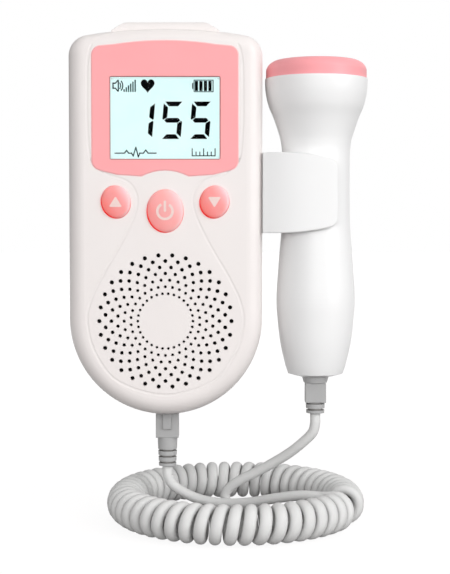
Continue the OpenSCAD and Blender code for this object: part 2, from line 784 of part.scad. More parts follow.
// Button cap with its crowned top, retaining flange and stem
module button(w, h) {
    crown_h = 0.065 * h;
    crown_half = crown_h / (1 - sqrt(1 - 1 / pow(crown_spread, 2)));
    stem_l = body_d - wall - flange_gap - flange_t - board_d - board_t - switch_h - plunger_h
        - button_travel - stem_gap;
    base = front_inside - flange_gap - flange_t;
    crown_d = body_d + button_out - crown_half;
    oval_bar(base, crown_d - base, w, h);
    intersection() {
        oval_bar(crown_d, crown_half + over, w, h);
        translate([0, -crown_d, 0])
            scale([w / h * crown_spread, 2 * crown_half / h, crown_spread]) sphere(r = h / 2, $fn = 128);
    }
    oval_bar(base, flange_t, w + 2 * flange_w, h + 2 * flange_w);
    bar(base - stem_l, stem_l, 1.5);
}

module power_button() { color("#F98F94") at_power() button(power_w, power_h); }
module up_button() { color("#F98F94") at_side(-1) button(side_w, side_h); }
module down_button() { color("#F98F94") at_side(1) button(side_w, side_h); }

// Sliding door: flush with the back, its end follows the round bottom rim
module battery_door() {
    color("#EFECEA") difference() {
        union() {
            intersection() {
                translate([0, -door_t, 0]) door_prism(0, door_t);
                rotate([90, 0, 0]) union() {
                    translate([0, bottom_z, 0]) rotate_extrude() rim_back_fill();
                    linear_extrude(door_t) translate([-half_w + back_round, bottom_z])
                        square([2 * (half_w - back_round), -bottom_z]);
                }
            }
            for (s = [-1, 1])
                translate([s * (door_w / 2 + rail_w / 2) - rail_w / 2, -rail_depth - rail_t, -58])
                cube([rail_w, rail_t, 58 + door_top - 4]);
        }
        for (k = [0 : 4]) translate([-9, -0.5, door_top - 8 - 2.4 * k]) cube([18, 0.5 + over, 1.1]);
    }
}

// Disc with the back rim's rounding
module rim_back_fill() {
    square([half_w - back_round, back_round]);
    intersection() {
        translate([half_w - back_round, back_round]) circle(back_round);
        translate([half_w - back_round - 0.5, 0]) square([back_round + over, back_round]);
    }
}

// ---- holder and probe ----

// Side outline of the holder: its arms taper to a round-cornered tip
module holder_outline() {
    tip = arm_tip_x - tip_round;
    lean = asin((tip - holder_taper_x) / (holder_edge_r - tip_round));
    corner = holder_h / 2 - holder_edge_r + (holder_edge_r - tip_round) * cos(lean);
    upper = concat(
        [[half_w, holder_h / 2]],
        [for (k = [0 : 8]) [holder_taper_x + holder_edge_r * sin(lean * k / 8),
            holder_h / 2 - holder_edge_r * (1 - cos(lean * k / 8))]],
        [for (k = [1 : 8]) let (a = (90 - lean) * (1 - k / 8))
            [tip + tip_round * cos(a), corner + tip_round * sin(a)]]
    );
    polygon(concat(upper, [for (k = [len(upper) - 1 : -1 : 0]) [upper[k].x, -upper[k].y]]));
}

// Clip for the probe's neck, open to the right
module probe_holder() {
    curve_y = holder_curve_r - (probe_d + slot_half + arm_t);
    color("#F3F3F3") intersection() {
        translate([0, 0, holder_z - holder_h / 2]) linear_extrude(holder_h) difference() {
            intersection() {
                translate([half_w, -50]) square([40, 50 - holder_back]);
                translate([holder_curve_x, curve_y]) circle(holder_curve_r, $fn = 240);
            }
            translate([probe_x, -probe_d]) circle(slot_half);
            translate([probe_x, -probe_d - slot_half]) square([40, 2 * slot_half]);
        }
        plate(0, 50) translate([0, holder_z]) holder_outline();
    }
}

module at_probe() { translate([probe_x, -probe_d, 0]) children(); }

probe_skin = smooth_open(probe_points, 6);

module probe_handle() {
    end_r = 5;
    color("#EDEDED") at_probe() difference() {
        rotate_extrude() polygon(concat([[0, probe_low]], [[end_r, probe_low]], probe_skin, [[0, head_z]]));
        rotate_extrude() polygon(concat([[0, probe_low + 2 * probe_wall]],
            [for (p = probe_skin) if (p.y > probe_low + 2 * probe_wall) [p.x - probe_wall, p.y]],
            [[head_r - probe_wall, head_z + over], [0, head_z + over]]));
        translate([0, 0, probe_low - over]) cylinder(h = 2 * probe_wall + 2 * over, r = 3.9);
    }
}

// Pink ring with a rounded shoulder, open in the middle for the sound face
module probe_head_ring() {
    color("#FFA6AB") at_probe() rotate_extrude() polygon(concat(
        [[head_r - probe_wall, head_z], [pink_r, head_z]],
        [for (k = [0 : 12]) shoulder_point(k / 12)],
        [[lens_r, head_z + ring_h - 0.8], [head_r - probe_wall, head_z + ring_h - 0.8]]
    ));
}

// A point of the ring's shoulder, from its foot to the edge of the sound face
function shoulder_point(f) =
    let (a = f * acos(1 - (pink_r - lens_r) / shoulder_w))
    [pink_r - shoulder_w * (1 - cos(a)), head_z + ring_h + shoulder_h * sin(a)];

// The sound face: a shallow crowned disc
module probe_lens() {
    r = lens_r - fit;
    sphere_r = (pow(r, 2) + pow(lens_rise, 2)) / (2 * lens_rise);
    top = shoulder_point(1).y - 0.3 + lens_rise;
    color("#F7B9BC") at_probe() intersection() {
        translate([0, 0, lens_low]) cylinder(h = top - lens_low + over, r = r);
        translate([0, 0, top - sphere_r]) sphere(r = sphere_r, $fn = 180);
    }
}

// Two half discs that send and receive, under the face
module probe_crystals() {
    color("#C7B68A") at_probe() translate([0, 0, lens_low - 1.6]) difference() {
        cylinder(h = 1.5, r = 10);
        translate([-0.5, -12, -over]) cube([1, 24, 4]);
    }
}

module probe_board() {
    color("#2E7D4F") at_probe() difference() {
        translate([0, 0, head_z - 2.4]) cylinder(h = 1.2, r = head_r - probe_wall - 0.8);
        translate([0, 0, head_z - 4]) cylinder(h = 4, r = 2);
    }
}

// Grey collar at the grip's lower end, round the plug
module probe_collar() {
    color("#B4B4B4") at_probe() difference() {
        union() {
            translate([0, 0, probe_plug_z]) cylinder(h = probe_low - probe_plug_z, r1 = 4, r2 = 4.6);
            translate([0, 0, probe_low]) cylinder(h = 5, r = 3.8);
        }
        translate([-2.9, -2.5, probe_plug_z - over]) cube([5.8, 5, 5 + over]);
    }
}

// ---- plugs and boots ----

// Modular plug: a block with a step, its tongue inside the socket, its latch in front
module unit_plug() {
    inside = plug_w - 1;
    color("#A5A5A5") translate([0, -parting_d, 0]) {
        translate([-plug_w / 2, -plug_t / 2, unit_boot_z]) cube([plug_w, plug_t, unit_plug_z - unit_boot_z]);
        translate([-inside / 2, -plug_t / 2 + 0.4, unit_plug_z]) cube([inside, plug_t - 0.8, plug_seat]);
        translate([-1.5, -plug_t / 2 - 0.8, unit_boot_z + 3]) cube([3, 0.8, unit_plug_z - unit_boot_z - 3]);
    }
}

// Strain relief with slots that let it bend
module boot(w0, w1, l, slots) {
    difference() {
        cylinder(h = l, r1 = w1 / 2, r2 = w0 / 2);
        for (k = [0 : slots - 1]) translate([0, 0, 1 + 2.1 * k]) difference() {
            cylinder(h = 0.6, r = w0);
            translate([0, 0, -over]) cylinder(h = 3, r = w1 / 2 - 0.9);
        }
    }
}

module unit_boot() {
    color("#AFAFAF") translate([0, -parting_d, unit_lead_z]) boot(6.9, 6, boot_l, 3);
}

module probe_plug() {
    w = 7;
    color("#ABABAB") at_probe() {
        translate([-w / 2, -w / 2 + 0.4, probe_boot_z]) cube([w, w - 0.8, probe_plug_z - probe_boot_z]);
        translate([-2.6, -2.2, probe_plug_z]) cube([5.2, 4.4, 4.5]);
    }
}

module probe_boot() {
    color("#B4B4B4") translate([probe_x, -probe_d, probe_lead_z]) boot(6.6, 6.2, 3.7, 2);
}

module unit_lead() { color("#D6D6D6") tube(unit_lead_path, cord_d / 2, lead_sides, [1, 0, 0]); }
module curly_cord() { color("#D6D6D6") tube(curly_path, cord_d / 2, cord_sides, [0, 0, 1]); }
module probe_lead() { color("#D6D6D6") tube(probe_lead_path, cord_d / 2, lead_sides, [1, 0, 0]); }

front_shell();
rear_shell();
speaker_grille();
display_bezel();
display_window();
lcd_panel();
lcd_frame();
main_board();
at_power() tact_switch();  // tact_switch_power
at_side(-1) tact_switch();  // tact_switch_up
at_side(1) tact_switch();  // tact_switch_down
dust_mesh();
speaker_frame();
speaker_cone();
speaker_magnet();
cell(-cell_x, 1);  // battery_left
cell(cell_x, 0);  // battery_right
battery_springs();
battery_plate();
cord_socket();
headphone_jack();
case_screw(screw_places[0]);  // case_screw_1
case_screw(screw_places[1]);  // case_screw_2
case_screw(screw_places[2]);  // case_screw_3
case_screw(screw_places[3]);  // case_screw_4
probe_holder();
power_button();
up_button();
down_button();
battery_door();
probe_handle();
probe_head_ring();
probe_lens();
probe_crystals();
probe_board();
probe_collar();
unit_plug();
unit_boot();
unit_lead();
curly_cord();
probe_lead();
probe_plug();
probe_boot();
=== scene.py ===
import math

import bpy
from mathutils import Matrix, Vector
from mathutils.bvhtree import BVHTree


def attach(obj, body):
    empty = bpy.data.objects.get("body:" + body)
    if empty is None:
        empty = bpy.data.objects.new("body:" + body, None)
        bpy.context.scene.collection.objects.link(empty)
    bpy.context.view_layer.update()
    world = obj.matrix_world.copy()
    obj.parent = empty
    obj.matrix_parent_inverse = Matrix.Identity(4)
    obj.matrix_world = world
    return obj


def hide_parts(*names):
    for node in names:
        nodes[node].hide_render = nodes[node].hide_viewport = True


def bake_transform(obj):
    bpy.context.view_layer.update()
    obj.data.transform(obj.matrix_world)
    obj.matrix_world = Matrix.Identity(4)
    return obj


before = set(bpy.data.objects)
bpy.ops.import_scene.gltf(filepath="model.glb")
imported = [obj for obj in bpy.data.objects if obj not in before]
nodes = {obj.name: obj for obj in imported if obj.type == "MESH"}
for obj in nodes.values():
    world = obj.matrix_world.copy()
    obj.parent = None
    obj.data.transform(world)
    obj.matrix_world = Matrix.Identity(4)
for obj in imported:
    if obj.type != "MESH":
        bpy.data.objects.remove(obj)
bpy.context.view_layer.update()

MM = 0.001
scene = bpy.context.scene


# ---- camera ----
# Its place, tilt and focal length are those that lay the frame's outline on the photograph's

camera_data = bpy.data.cameras.new("camera")
camera_data.sensor_width = 36
camera_data.lens = 79.99
camera = bpy.data.objects.new("camera", camera_data)
camera.location = (0.0199, -0.45461, -0.00557)
camera.rotation_euler = (math.radians(90 - 2.4), 0, 0)
scene.collection.objects.link(camera)
scene.camera = camera


# ---- meshes ----

def mesh_object(name, points, faces, material=None, smooth=True):
    """A mesh object from points in millimetres."""
    mesh = bpy.data.meshes.new(name)
    mesh.from_pydata([tuple(c * MM for c in p) for p in points], [], faces)
    mesh.validate()
    mesh.update()
    mesh.polygons.foreach_set("use_smooth", [smooth] * len(mesh.polygons))
    o = bpy.data.objects.new(name, mesh)
    scene.collection.objects.link(o)
    if material:
        mesh.materials.append(material)
    return o


def between(a, b, c, d, steps):
    """Points from b up to c on a smooth line through a, b, c and d."""
    return [0.5 * (2 * b + (c - a) * t + (2 * a - 5 * b + 4 * c - d) * t * t
                   + (3 * b - a - 3 * c + d) * t ** 3) for t in (k / steps for k in range(steps))]


def spline(points, steps):
    """A smooth line through the points."""
    p = [Vector(q) for q in points]
    line = []
    for i in range(len(p) - 1):
        line += between(p[max(i - 1, 0)], p[i], p[i + 1], p[min(i + 2, len(p) - 1)], steps)
    return line + [p[-1]]


def closed_spline(points, steps):
    """A smooth closed line through the points."""
    p = [Vector(q) for q in points]
    n = len(p)
    line = []
    for i in range(n):
        line += between(p[i - 1], p[i], p[(i + 1) % n], p[(i + 2) % n], steps)
    return line


def tube(name, path, r, sides, first_side, material, widen=None):
    """A tube along a path, whose sides turn as little as possible from ring to ring. It is
    round, or wider along the vectors in widen, where each one's square is the share added."""
    points, faces = [], []
    side = Vector(first_side)
    for i, q in enumerate(path):
        heading = (path[min(i + 1, len(path) - 1)] - path[max(i - 1, 0)]).normalized()
        side = (side - side.dot(heading) * heading).normalized()
        other = heading.cross(side)
        for k in range(sides):
            a = 2 * math.pi * k / sides
            out = r * (math.cos(a) * side + math.sin(a) * other)
            if widen:
                out += out.dot(widen[i]) * widen[i]
            points.append(q + out)
        if i:
            for k in range(sides):
                b, c = (i - 1) * sides, (k + 1) % sides
                faces.append((b + k, b + c, b + sides + c, b + sides + k))
    faces.append(tuple(range(sides))[::-1])
    faces.append(tuple(range(len(points) - sides, len(points))))
    return mesh_object(name, points, faces, material)


# ---- materials ----

def srgb(r, g, b):
    """An sRGB colour, 0 to 255, as linear RGBA."""
    return tuple(((c / 255 + 0.055) / 1.055) ** 2.4 if c > 10 else c / 255 / 12.92
                 for c in (r, g, b)) + (1,)


class Maker:
    """Adds nodes to a new material, or to the tree that is given."""

    def __init__(self, name=None, tree=None):
        if not tree:
            self.material = bpy.data.materials.new(name)
            self.material.use_nodes = True
            tree = self.material.node_tree
        self.nodes, self.links = tree.nodes, tree.links
        self.shader = self.nodes.get("Principled BSDF")
        coordinates = self.nodes.new("ShaderNodeTexCoord").outputs
        self.place, self.generated = coordinates["Object"], coordinates["Generated"]

    def node(self, kind, inputs=None, **settings):
        n = self.nodes.new("ShaderNode" + kind)
        for k, v in settings.items():
            setattr(n, k, v)
        for k, v in (inputs or {}).items():
            self.put(n.inputs[k], v)
        return n

    def put(self, socket, value):
        if isinstance(value, bpy.types.NodeSocket):
            self.links.new(value, socket)
        else:
            socket.default_value = value

    def math(self, operation, a, b=0.0, c=0.0):
        n = self.node("Math", operation=operation, use_clamp=False)
        for s, v in zip(n.inputs, (a, b, c)):
            self.put(s, v)
        return n.outputs[0]

    def noise(self, scale, detail=3.0, rough=0.5, stretch=None):
        place = self.place
        if stretch:
            place = self.node("Mapping", {"Vector": place, "Scale": stretch}).outputs[0]
        return self.node("TexNoise", {"Vector": place, "Scale": scale, "Detail": detail,
                                      "Roughness": rough}).outputs["Fac"]

    def span(self, value, low, high, to_low=0.0, to_high=1.0, smooth=False):
        kind = "SMOOTHSTEP" if smooth else "LINEAR"
        return self.node("MapRange", {"Value": value, "From Min": low, "From Max": high,
                                      "To Min": to_low, "To Max": to_high},
                         interpolation_type=kind).outputs[0]

    def mix(self, factor, a, b, blend="MIX"):
        n = self.node("Mix", data_type="RGBA", blend_type=blend)
        for s, v in zip((n.inputs[0], n.inputs[6], n.inputs[7]), (factor, a, b)):
            self.put(s, v)
        return n.outputs[2]

    def bump(self, height, distance, strength=1.0, normal=None):
        n = self.node("Bump", {"Height": height, "Distance": distance, "Strength": strength})
        if normal:
            self.put(n.inputs["Normal"], normal)
        return n.outputs[0]

    def separate(self, vector=None):
        return self.node("SeparateXYZ", {"Vector": vector or self.place}).outputs

    def crevice(self, distance):
        """1 in the open and less in corners and gaps."""
        return self.node("AmbientOcclusion", {"Distance": distance}, samples=8,
                         only_local=True).outputs["AO"]

    def finish(self, colour, rough, normal=None, **fixed):
        self.put(self.shader.inputs["Base Color"], colour)
        self.put(self.shader.inputs["Roughness"], rough)
        if normal:
            self.put(self.shader.inputs["Normal"], normal)
        for k, v in fixed.items():
            self.shader.inputs[k.replace("_", " ")].default_value = v
        return self.material


def shade(colour, k):
    return tuple(c * k for c in colour[:3]) + (1,)


def plastic(name, colour, rough=0.4, mottle=0.025, depth=0.00002, dust_and_shade=0.0, edge=0.0):
    """Moulded plastic: faint flow marks, a fine spark grain of that depth in metres, edges rounded
    to the radius edge in metres and, if asked for, dust and painted shade darkening corners and gaps."""
    m = Maker(name)
    flow = m.noise(70, 4, 0.6, (1, 1, 0.45))
    base = m.mix(m.span(flow, 0.35, 0.65), shade(colour, 1 - mottle), shade(colour, 1 + mottle * 0.5))
    if dust_and_shade:
        # Painted shade with a warm dust tint: the colour darkens where the occlusion finds corners and
        # gaps
        closed = m.span(m.crevice(0.0012), 0.35, 0.95, dust_and_shade, 0.0)
        base = m.mix(closed, base, shade((colour[0], colour[1] * 0.93, colour[2] * 0.86), 0.55))
    fine = m.noise(2600, 2, 0.55)
    handled = m.noise(140, 3)
    soft = m.node("Bevel", {"Radius": edge}, samples=6).outputs[0] if edge else None
    normal = m.bump(fine, depth, 0.7, soft)
    return m.finish(base, m.span(handled, 0.3, 0.7, rough - 0.04, rough + 0.06), normal)


def metal(name, colour, rough):
    """Plated steel or brass: slightly uneven, with darker tarnish."""
    m = Maker(name)
    lines = m.noise(900, 3, 0.6)
    tarnish = m.noise(220, 4, 0.6)
    base = m.mix(m.span(tarnish, 0.35, 0.7), colour, shade(colour, 0.78))
    return m.finish(base, m.span(lines, 0.3, 0.7, rough - 0.08, rough + 0.12),
                    m.bump(lines, 0.000015, 0.5), Metallic=1.0)


def cord_vinyl():
    """Soft vinyl jacket: a faint satin skin with a slight unevenness along its length, and painted
    shade in the gaps between its curls.
    """
    m = Maker("cord_vinyl")
    base = m.mix(m.span(m.noise(120, 4, 0.6), 0.3, 0.7), srgb(219, 219, 218), srgb(226, 226, 225))
    # Painted shade: grey where the occlusion finds the narrow gaps between the curls
    closed = m.span(m.crevice(0.0022), 0.25, 0.9, 0.35, 0.0)
    base = m.mix(closed, base, srgb(140, 140, 140))
    skin = m.noise(900, 3, 0.55)
    return m.finish(base, m.span(m.noise(300, 2), 0.3, 0.7, 0.58, 0.68), m.bump(skin, 0.00003, 0.6),
                    Specular_IOR_Level=0.3)


SHELL = srgb(240, 234, 232)
LCD_Z = 32.7    # height of the display's middle
mats = {
    "shell": plastic("shell_plastic", SHELL, 0.36, 0.010, depth=0.000008, dust_and_shade=0.25, edge=0.0004),
    "skin": plastic("shell_skin_plastic", SHELL, 0.36, 0.010, depth=0.000008),
    "bezel": plastic("bezel_plastic", srgb(255, 170, 173), 0.38, 0.012, depth=0.00001, edge=0.0003),
    "lip": plastic("bezel_lip_plastic", srgb(255, 196, 197), 0.40, 0.012),
    "probe": plastic("probe_plastic", srgb(245, 245, 245), 0.34, 0.004, depth=0.000003),
    "holder": plastic("holder_plastic", srgb(244, 244, 244), 0.34, 0.004, depth=0.000003, edge=0.0009),
    "head": plastic("head_plastic", srgb(255, 167, 172), 0.42, 0.012, edge=0.0003),
    "collar": plastic("collar_plastic", srgb(186, 186, 186), 0.45, 0.02, dust_and_shade=0.3, edge=0.0003),
    "plug": plastic("plug_plastic", srgb(176, 176, 176), 0.42, 0.03, dust_and_shade=0.35, edge=0.0005),
    "boot": plastic("boot_rubber", srgb(180, 180, 180), 0.55, 0.03, dust_and_shade=0.75, edge=0.0002),
    "socket": plastic("socket_plastic", srgb(52, 52, 54), 0.45, 0.05),
    "tray": plastic("tray_plastic", srgb(240, 240, 240), 0.5, 0.02),
    "screw": metal("screw_steel", srgb(176, 178, 182), 0.32),
    "steel": metal("switch_steel", srgb(196, 198, 202), 0.30),
    "spring": metal("spring_steel", srgb(190, 192, 196), 0.26),
    "brass": metal("contact_brass", srgb(204, 172, 98), 0.30),
    "magnet": metal("magnet_steel", srgb(140, 142, 146), 0.40),
    "cord": cord_vinyl(),
}


def board_material():
    """Green circuit board with pale traces and pads."""
    m = Maker("board_laminate")
    grid = m.node("TexVoronoi", {"Vector": m.place, "Scale": 420.0}, feature="DISTANCE_TO_EDGE",
                  distance="MANHATTAN").outputs["Distance"]
    trace = m.span(grid, 0.04, 0.07, 1.0, 0.0, True)
    base = m.mix(trace, srgb(30, 104, 62), srgb(66, 142, 88))
    pads = m.node("TexVoronoi", {"Vector": m.place, "Scale": 260.0}).outputs["Distance"]
    base = m.mix(m.span(pads, 0.10, 0.13, 1.0, 0.0, True), base, srgb(200, 196, 180))
    return m.finish(base, 0.35, m.bump(trace, 0.00004, 0.8))


def wrap_material():
    """Cell jacket: blue with silver bands, and no lettering."""
    m = Maker("cell_wrap")
    height = m.separate()["Z"]
    bands = m.math("FRACT", m.math("MULTIPLY", height, 55.0))
    base = m.mix(m.span(m.noise(60, 3), 0.3, 0.7), srgb(58, 98, 150), srgb(66, 110, 164))
    base = m.mix(m.span(bands, 0.90, 0.92), base, srgb(214, 214, 216))
    return m.finish(base, 0.28, m.bump(m.noise(1500, 2), 0.00001, 0.5), Metallic=0.55)


def cone_material():
    """Fibrous black paper."""
    m = Maker("cone_paper")
    return m.finish(m.mix(m.noise(1500, 4), srgb(24, 24, 26), srgb(46, 46, 48)), 0.75,
                    m.bump(m.noise(2500, 5, 0.7), 0.00006, 0.9))


def mesh_material():
    """Black dust cloth: a plain weave."""
    m = Maker("dust_cloth")
    x, _, z = m.separate()
    weave = m.math("MULTIPLY", m.math("SINE", m.math("MULTIPLY", x, 14000.0)),
                   m.math("SINE", m.math("MULTIPLY", z, 14000.0)))
    return m.finish(m.mix(m.span(weave, -1, 1), srgb(14, 14, 15), srgb(34, 34, 36)), 0.85,
                    m.bump(weave, 0.00004, 1.0))


def ceramic_material():
    """Pale speckled ceramic."""
    m = Maker("crystal_ceramic")
    return m.finish(m.mix(m.noise(1800, 5, 0.7), srgb(190, 170, 122), srgb(212, 196, 152)), 0.6,
                    m.bump(m.noise(3000, 3), 0.00003, 0.7))


def panel_material():
    """Lit display: pale and even, a little brighter in the middle."""
    m = Maker("display_panel")
    x, _, z = m.separate()
    dx = m.math("MULTIPLY", x, 50.0)
    dz = m.math("MULTIPLY", m.math("SUBTRACT", z, LCD_Z * MM), 60.0)
    far = m.math("ADD", m.math("MULTIPLY", dx, dx), m.math("MULTIPLY", dz, dz))
    colour = m.mix(m.span(far, 0.0, 1.6), srgb(224, 253, 252), srgb(220, 251, 250))
    dots = m.math("MULTIPLY", m.math("SINE", m.math("MULTIPLY", x, 26000.0)),
                  m.math("SINE", m.math("MULTIPLY", z, 26000.0)))
    m.put(m.shader.inputs["Emission Color"], colour)
    m.shader.inputs["Emission Strength"].default_value = 0.93
    return m.finish(srgb(30, 36, 36), m.span(dots, -1, 1, 0.45, 0.55))


def glass_material():
    """Clear acrylic window with a faint haze of handling."""
    m = Maker("window_acrylic")
    tint = m.mix(m.span(m.noise(60, 3), 0.35, 0.65), srgb(250, 254, 254), srgb(255, 255, 255))
    return m.finish(tint, 0.0, Transmission_Weight=1.0, IOR=1.05)


mats.update(board=board_material(), wrap=wrap_material(), cone=cone_material(),
            mesh=mesh_material(), ceramic=ceramic_material(), panel=panel_material(),
            glass=glass_material())


def rubber(name, left, middle, right):
    """Silicone button with painted light from its right: painted pale there, and painted shade and
    a painted glow in red at the rim on its lower left. The colours are those of its left, its
    middle and its right."""
    m = Maker(name)
    x, _, z = m.separate(m.generated)
    # Painted light: the colour runs from the left colour through the middle one to the right one
    across = m.math("MULTIPLY_ADD", x, 1.5, m.math("MULTIPLY_ADD", z, 0.9, -1.2))
    base = m.mix(m.span(across, -0.65, 0.0, 0.0, 1.0, True), left, middle)
    base = m.mix(m.span(across, 0.10, 0.85, 0.0, 1.0, True), base, right)
    x, y, z = m.separate(m.node("NewGeometry").outputs["Normal"])
    turn = m.math("MULTIPLY_ADD", x, 0.75, m.math("MULTIPLY", z, 0.66))
    steep = m.span(y, -0.62, -0.15, 0.0, 1.0, True)
    # Painted highlight: faces that turn to the right are paler
    base = m.mix(m.span(x, 0.10, 0.60, 0.0, 0.75, True), base, right)
    # Painted shade: steep sides that face down are deep red
    under = m.math("MULTIPLY", steep, m.span(z, 0.35, -0.25, 0.0, 1.0, True))
    base = m.mix(under, base, srgb(255, 112, 106))
    # Painted shade: the rim on the lower left is almost pure red
    rim = m.span(turn, -0.32, -0.70, 0.0, 1.0, True)
    base = m.mix(rim, base, srgb(250, 4, 2))
    # Painted glow: the button gives off red light at those sides and that rim, and a little everywhere
    light = m.mix(under, srgb(255, 140, 136), srgb(255, 90, 84))
    m.put(m.shader.inputs["Emission Color"], m.mix(rim, light, srgb(255, 40, 30)))
    glow = m.math("MAXIMUM", m.math("MULTIPLY", steep, 0.18), m.math("MULTIPLY", rim, 0.27))
    m.put(m.shader.inputs["Emission Strength"], m.math("ADD", glow, 0.035))
    base = m.mix(m.span(m.noise(160, 3), 0.3, 0.7, 0.0, 0.03), base, srgb(255, 240, 240))
    m.shader.inputs["Subsurface Radius"].default_value = (1.0, 0.25, 0.2)
    m.shader.inputs["Subsurface Scale"].default_value = 0.001
    m.shader.inputs["Specular IOR Level"].default_value = 0.25
    return m.finish(base, m.span(m.noise(300, 2), 0.3, 0.7, 0.30, 0.38),
                    m.bump(m.noise(2600, 2), 0.000006, 0.6), Subsurface_Weight=0.4)


def flat_ink(name, colour, rough=0.6):
    """Ink of a printed mark: slightly uneven, with a matt skin."""
    m = Maker(name)
    base = m.mix(m.span(m.noise(900, 3), 0.3, 0.7), shade(colour, 0.96), colour)
    return m.finish(base, m.span(m.noise(500, 2), 0.3, 0.7, rough - 0.05, rough + 0.05),
                    Specular_IOR_Level=0.0)


# Each button's three colours are painted light, darker on its left and paler on its right
mats.update(
    power_rubber=rubber("power_button_rubber", srgb(255, 158, 155), srgb(255, 177, 175),
                        srgb(255, 210, 212)),
    side_rubber=rubber("side_button_rubber", srgb(255, 136, 130), srgb(255, 161, 159),
                       srgb(255, 208, 212)),
    icon=flat_ink("icon_ink", srgb(248, 220, 215)),
    segment=flat_ink("segment_ink", srgb(8, 9, 10)),
    small_segment=flat_ink("small_segment_ink", srgb(36, 62, 66)),
    border=flat_ink("border_ink", srgb(150, 104, 100), 0.5),
)

NODE_MATERIALS = {
    "shell": ["front_shell", "rear_shell", "speaker_grille", "battery_door"],
    "bezel": ["display_bezel"],
    "glass": ["display_window"],
    "panel": ["lcd_panel"],
    "tray": ["lcd_frame"],
    "board": ["main_board", "probe_board"],
    "steel": ["tact_switch_power", "tact_switch_up", "tact_switch_down"],
    "mesh": ["dust_mesh"],
    "socket": ["speaker_frame", "cord_socket", "headphone_jack"],
    "cone": ["speaker_cone"],
    "magnet": ["speaker_magnet"],
    "wrap": ["battery_left", "battery_right"],
    "spring": ["battery_springs"],
    "brass": ["battery_plate"],
    "screw": ["case_screw_1", "case_screw_2", "case_screw_3", "case_screw_4"],
    "holder": ["probe_holder"],
    "power_rubber": ["power_button"],
    "side_rubber": ["up_button", "down_button"],
    "probe": ["probe_handle"],
    "head": ["probe_head_ring", "probe_lens"],
    "ceramic": ["probe_crystals"],
    "collar": ["probe_collar"],
    "plug": ["unit_plug", "probe_plug"],
    "boot": ["unit_boot", "probe_boot"],
    "cord": ["unit_lead", "curly_cord", "probe_lead"],
}
for key, names in NODE_MATERIALS.items():
    for name in names:
        mesh = nodes[name].data
        mesh.materials.clear()
        mesh.materials.append(mats[key])


# ---- cord ----

# The cord's sizes are those of the construction
CORD_D = 3.5
CURLS = 50
CURL_R = 4.8
RING_R = 37.6                # ring on which the curls lie
RING_X, RING_Y = 23.5, -18
GROUND = -104
FIRST_BEARING, BEARING_SWEEP = -27, -345
FIRST_PHASE = 80
PHASE_SWEEP = 360 * (CURLS - 1) + 270 - FIRST_PHASE


def curl_turn(f):
    """Bearing on the ring and phase of the curl at f, from 0 to 1 along the curly part."""
    return math.radians(FIRST_BEARING + BEARING_SWEEP * f), math.radians(FIRST_PHASE + PHASE_SWEEP * f)


def curl_point(f):
    """A point of the curly part."""
    bearing, phase = curl_turn(f)
    r = RING_R - CURL_R * math.cos(phase)
    return Vector((RING_X + r * math.cos(bearing), RING_Y + r * math.sin(bearing),
                   GROUND + CURL_R + CORD_D / 2 + CURL_R * math.sin(phase)))


def lead(boot_end, points, joint, inwards):
    """A lead from its boot straight down, along its points and straight into the curls."""
    start = Vector(boot_end)
    down = start - Vector((0, 0, CORD_D))
    inner = spline([down, *points, joint + 2 * inwards], 8)
    return [start, *inner, joint]


curl_steps = 26 * PHASE_SWEEP // 360
curls = [curl_point(i / curl_steps) for i in range(curl_steps + 1)]
curl_in = (curl_point(0) - curl_point(0.0002)).normalized()
curl_out = (curl_point(1) - curl_point(0.9998)).normalized()
unit_lead = lead((0, -15, -85.8), [
    (1.6, -14.8, -92.5), (5.8, -14.5, -95.6), (11.6, -14.6, -98), (19.5, -16, -99),
    (28.5, -19.2, -98), (37.5, -23.6, -95.6), (45.5, -28, -93.8)],
    curls[0] + CORD_D * curl_in, curl_in)
probe_lead = lead((50.95, -17.8, -67.1), [
    (50.1, -17.4, -74), (46.5, -16, -78), (42, -13.6, -82), (36.5, -10.6, -86),
    (31, -7.6, -89.6), (26, -5.2, -92.6), (22, -3.6, -95.6), (20, -3.2, -98.6),
    (21, -4.2, -101.2), (25, -7.2, -102.2), (31, -11.4, -102.2), (38.5, -16.2, -102.2),
    (46.5, -21, -102.2)], curls[-1] + CORD_D * curl_out, curl_out)
route = unit_lead + curls + probe_lead[::-1]


def curl_widening(f):
    """The curls press against each other, so the cord is wider along the ring there."""
    bearing, phase = curl_turn(f)
    grown = (0.13 - 0.05 * math.cos(phase)) * min(1, f * 200, (1 - f) * 200)
    return math.sqrt(grown) * Vector((-math.sin(bearing), math.cos(bearing), 0))


widen = ([Vector()] * len(unit_lead)
         + [curl_widening(i / curl_steps) for i in range(curl_steps + 1)]
         + [Vector()] * len(probe_lead))
cord = tube("cord", route, CORD_D / 2, 16, (1, 0, 0), mats["cord"], widen)
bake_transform(cord)
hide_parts("unit_lead", "curly_cord", "probe_lead")


# ---- buttons ----

CAP_TOP = -31.3
SKIRT = 0.04    # the cap is this much wider than the construction's button on each side
# Crown of a button: share of the half width, and drop below the top
CROWN = [(0, 0), (0.2, 0.01), (0.4, 0.05), (0.55, 0.11), (0.68, 0.19), (0.78, 0.28),
         (0.86, 0.40), (0.92, 0.56), (0.96, 0.76), (0.985, 1.02), (1.0, 1.40)]


def crown_drop(rho):
    """How far the crown lies below its top, at that share of the half width."""
    for (a, da), (b, db) in zip(CROWN, CROWN[1:]):
        if rho <= b:
            return da + (db - da) * (rho - a) / (b - a)
    return CROWN[-1][1]


def at(cx, cz, tilt, x, y, z):
    """A button's own point, with its tilt in degrees, in the row frame."""
    c, s = math.cos(math.radians(tilt)), math.sin(math.radians(tilt))
    return (cx + x * c + z * s, y, cz - x * s + z * c)


